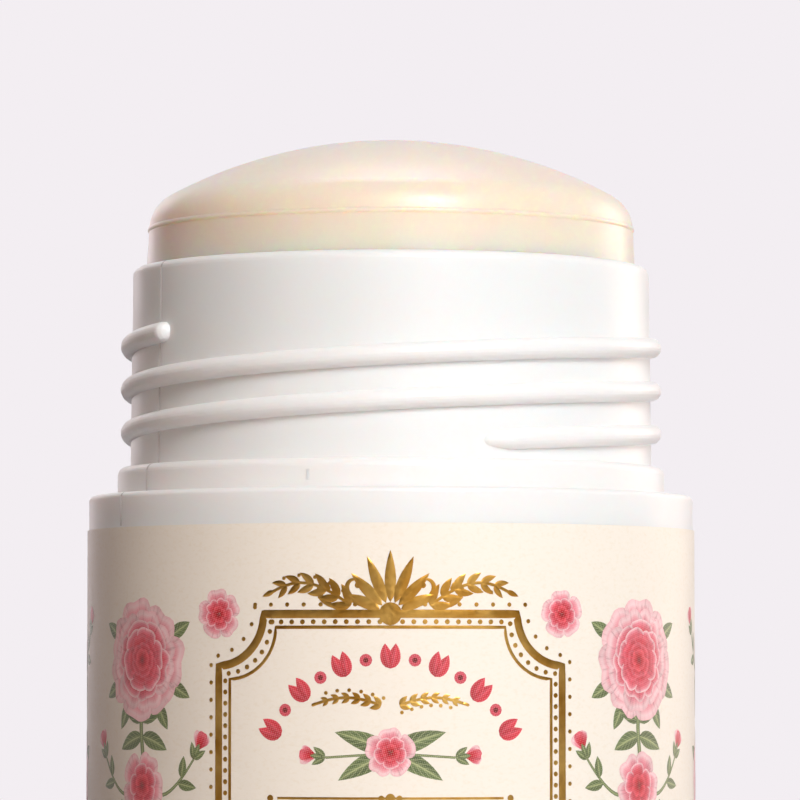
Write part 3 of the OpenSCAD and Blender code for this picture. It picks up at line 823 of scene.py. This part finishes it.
def floor_material():
    """Pale and dull. Near the object it takes its shadow; further out it is the backdrop's tone.

    The light that it throws back on the object comes from one side only: for those rays its colour is painted
    shade, near black except on the side towards BOUNCE_SIDE.
    """
    s = Shader("studio_floor", BACKDROP, 0.9)
    tone = s.mottle(s.noise(700.0, 3.0), 0.4, 0.6, shade(BACKDROP, 0.985), BACKDROP)
    far = s.node("ShaderNodeVectorMath", operation="LENGTH")
    s.link(s.place, far.inputs[0])
    share = s.spread(far.outputs["Value"], 0.06, 0.5, 0.25, 1.0)
    path = s.node("ShaderNodeLightPath").outputs
    seen = path["Is Camera Ray"]
    mirrored = s.math("ADD", path["Is Glossy Ray"], path["Is Transmission Ray"])
    side = s.node("ShaderNodeVectorMath", operation="DOT_PRODUCT")
    s.link(s.place, side.inputs[0])
    side.inputs[1].default_value = BOUNCE_SIDE
    # Painted shade: the floor's colour for light that bounces off it is near black away from BOUNCE_SIDE, a
    # painted shadow on the floor.
    bounce = s.blend(s.spread(side.outputs["Value"], -0.02, 0.03, 0.05, 1.0), (0, 0, 0), BOUNCE)
    s.colour(s.blend(s.math("ADD", seen, mirrored, True), bounce, tone))
    glow = s.node("ShaderNodeEmission")
    glow.inputs["Color"].default_value = (*BACKDROP, 1)
    s.link(s.mix_shaders(s.math("MULTIPLY", share, seen), s.bsdf.outputs[0], glow.outputs[0]), s.surface)
    return s.material


def studio_floor():
    """A round floor of rings about the object."""
    points = [(0, 0, 0)]
    faces = []
    for ring, r in enumerate(FLOOR_RINGS):
        turns = [2 * math.pi * i / FLOOR_SIDES for i in range(FLOOR_SIDES)]
        points += [(r * math.cos(a), r * math.sin(a), 0) for a in turns]
        first = 1 + ring * FLOOR_SIDES
        for i in range(FLOOR_SIDES):
            k = (i + 1) % FLOOR_SIDES
            if ring == 0:
                faces.append((0, first + i, first + k))
            else:
                faces.append((first - FLOOR_SIDES + i, first + i, first + k, first - FLOOR_SIDES + k))
    mesh = bpy.data.meshes.new("studio_floor")
    mesh.from_pydata(points, [], faces)
    mesh.materials.append(floor_material())
    floor = add_to_scene("studio_floor", mesh)


def studio_world():
    """The pale backdrop where it is seen, and a dim room around it."""
    world = bpy.data.worlds.new("studio")
    bpy.context.scene.world = world
    world.use_nodes = True
    n = Nodes(world.node_tree)

    def background(colour, strength):
        node = n.node("ShaderNodeBackground")
        node.inputs["Color"].default_value = (*colour, 1)
        node.inputs["Strength"].default_value = strength
        return node.outputs[0]

    path = n.node("ShaderNodeLightPath").outputs
    axes = n.split(n.node("ShaderNodeTexCoord").outputs["Generated"])
    behind = n.math("ADD", n.math("MULTIPLY", axes["Y"], 3.0), 0.5, True)
    straight = n.math("ADD", path["Is Camera Ray"], path["Is Transmission Ray"], True)
    seen = n.math("ADD", straight, n.math("MULTIPLY", path["Is Glossy Ray"], behind), True)
    blend = n.mix_shaders(seen, background(ROOM, ROOM_GLOW), background(BACKDROP, 1.0))
    n.link(blend, n.node("ShaderNodeOutputWorld").inputs["Surface"])


def softbox(name, azimuth, elevation, width, height, power, colour=(1, 1, 1), mirrored=True):
    """An area lamp that faces the object. Azimuth 0 is over the camera, and grows to the camera's right."""
    lamp = bpy.data.lights.new(name, "AREA")
    lamp.shape = "RECTANGLE"
    lamp.size = width
    lamp.size_y = height
    lamp.energy = power
    lamp.color = colour
    piece = add_to_scene(name, lamp)
    a, e = math.radians(azimuth), math.radians(elevation)
    outward = Vector((math.cos(e) * math.sin(a), -math.cos(e) * math.cos(a), math.sin(e)))
    piece.location = TARGET + LAMP_DISTANCE * outward
    piece.rotation_euler = (TARGET - piece.location).to_track_quat("-Z", "Y").to_euler()
    piece.visible_camera = False
    piece.visible_glossy = mirrored


studio_floor()
studio_world()
softbox("key", 20, 34, 0.3, 0.44, 7.6)
softbox("warm", -45, 15, 0.4, 0.4, 0.6, (1.0, 0.4, 0.05), mirrored=False)
softbox("crown", 180, 60, 0.3, 0.3, 1.1, (0.85, 0.92, 1.0))
softbox("rear", 180, 18, 0.4, 0.4, 2.4, mirrored=False)
softbox("left_rim", -156, 12, 0.3, 0.4, 0.6, (1.0, 0.88, 0.9))
softbox("right_rim", 130, 12, 0.4, 0.4, 1.9, (1.0, 0.8, 0.68))

# Camera: the photograph's place, 365 mm in front of the axis and 47 mm up, looking a little upward.
# Its lens and sensor are in millimetres, and its tilt is in degrees above level.
CAMERA_PLACE = (0.00063, -0.365, 0.047)
CAMERA_TILT = 3.104
LENS = 235.6
SENSOR_W = 36
CLIP_START = 0.01
camera = bpy.data.cameras.new("camera")
camera.lens = LENS
camera.sensor_width = SENSOR_W
camera.clip_start = CLIP_START
viewer = add_to_scene("camera", camera)
viewer.location = CAMERA_PLACE
viewer.rotation_euler = (math.radians(90 + CAMERA_TILT), 0, 0)
bpy.context.scene.camera = viewer
bpy.context.scene.view_settings.view_transform = "Standard"
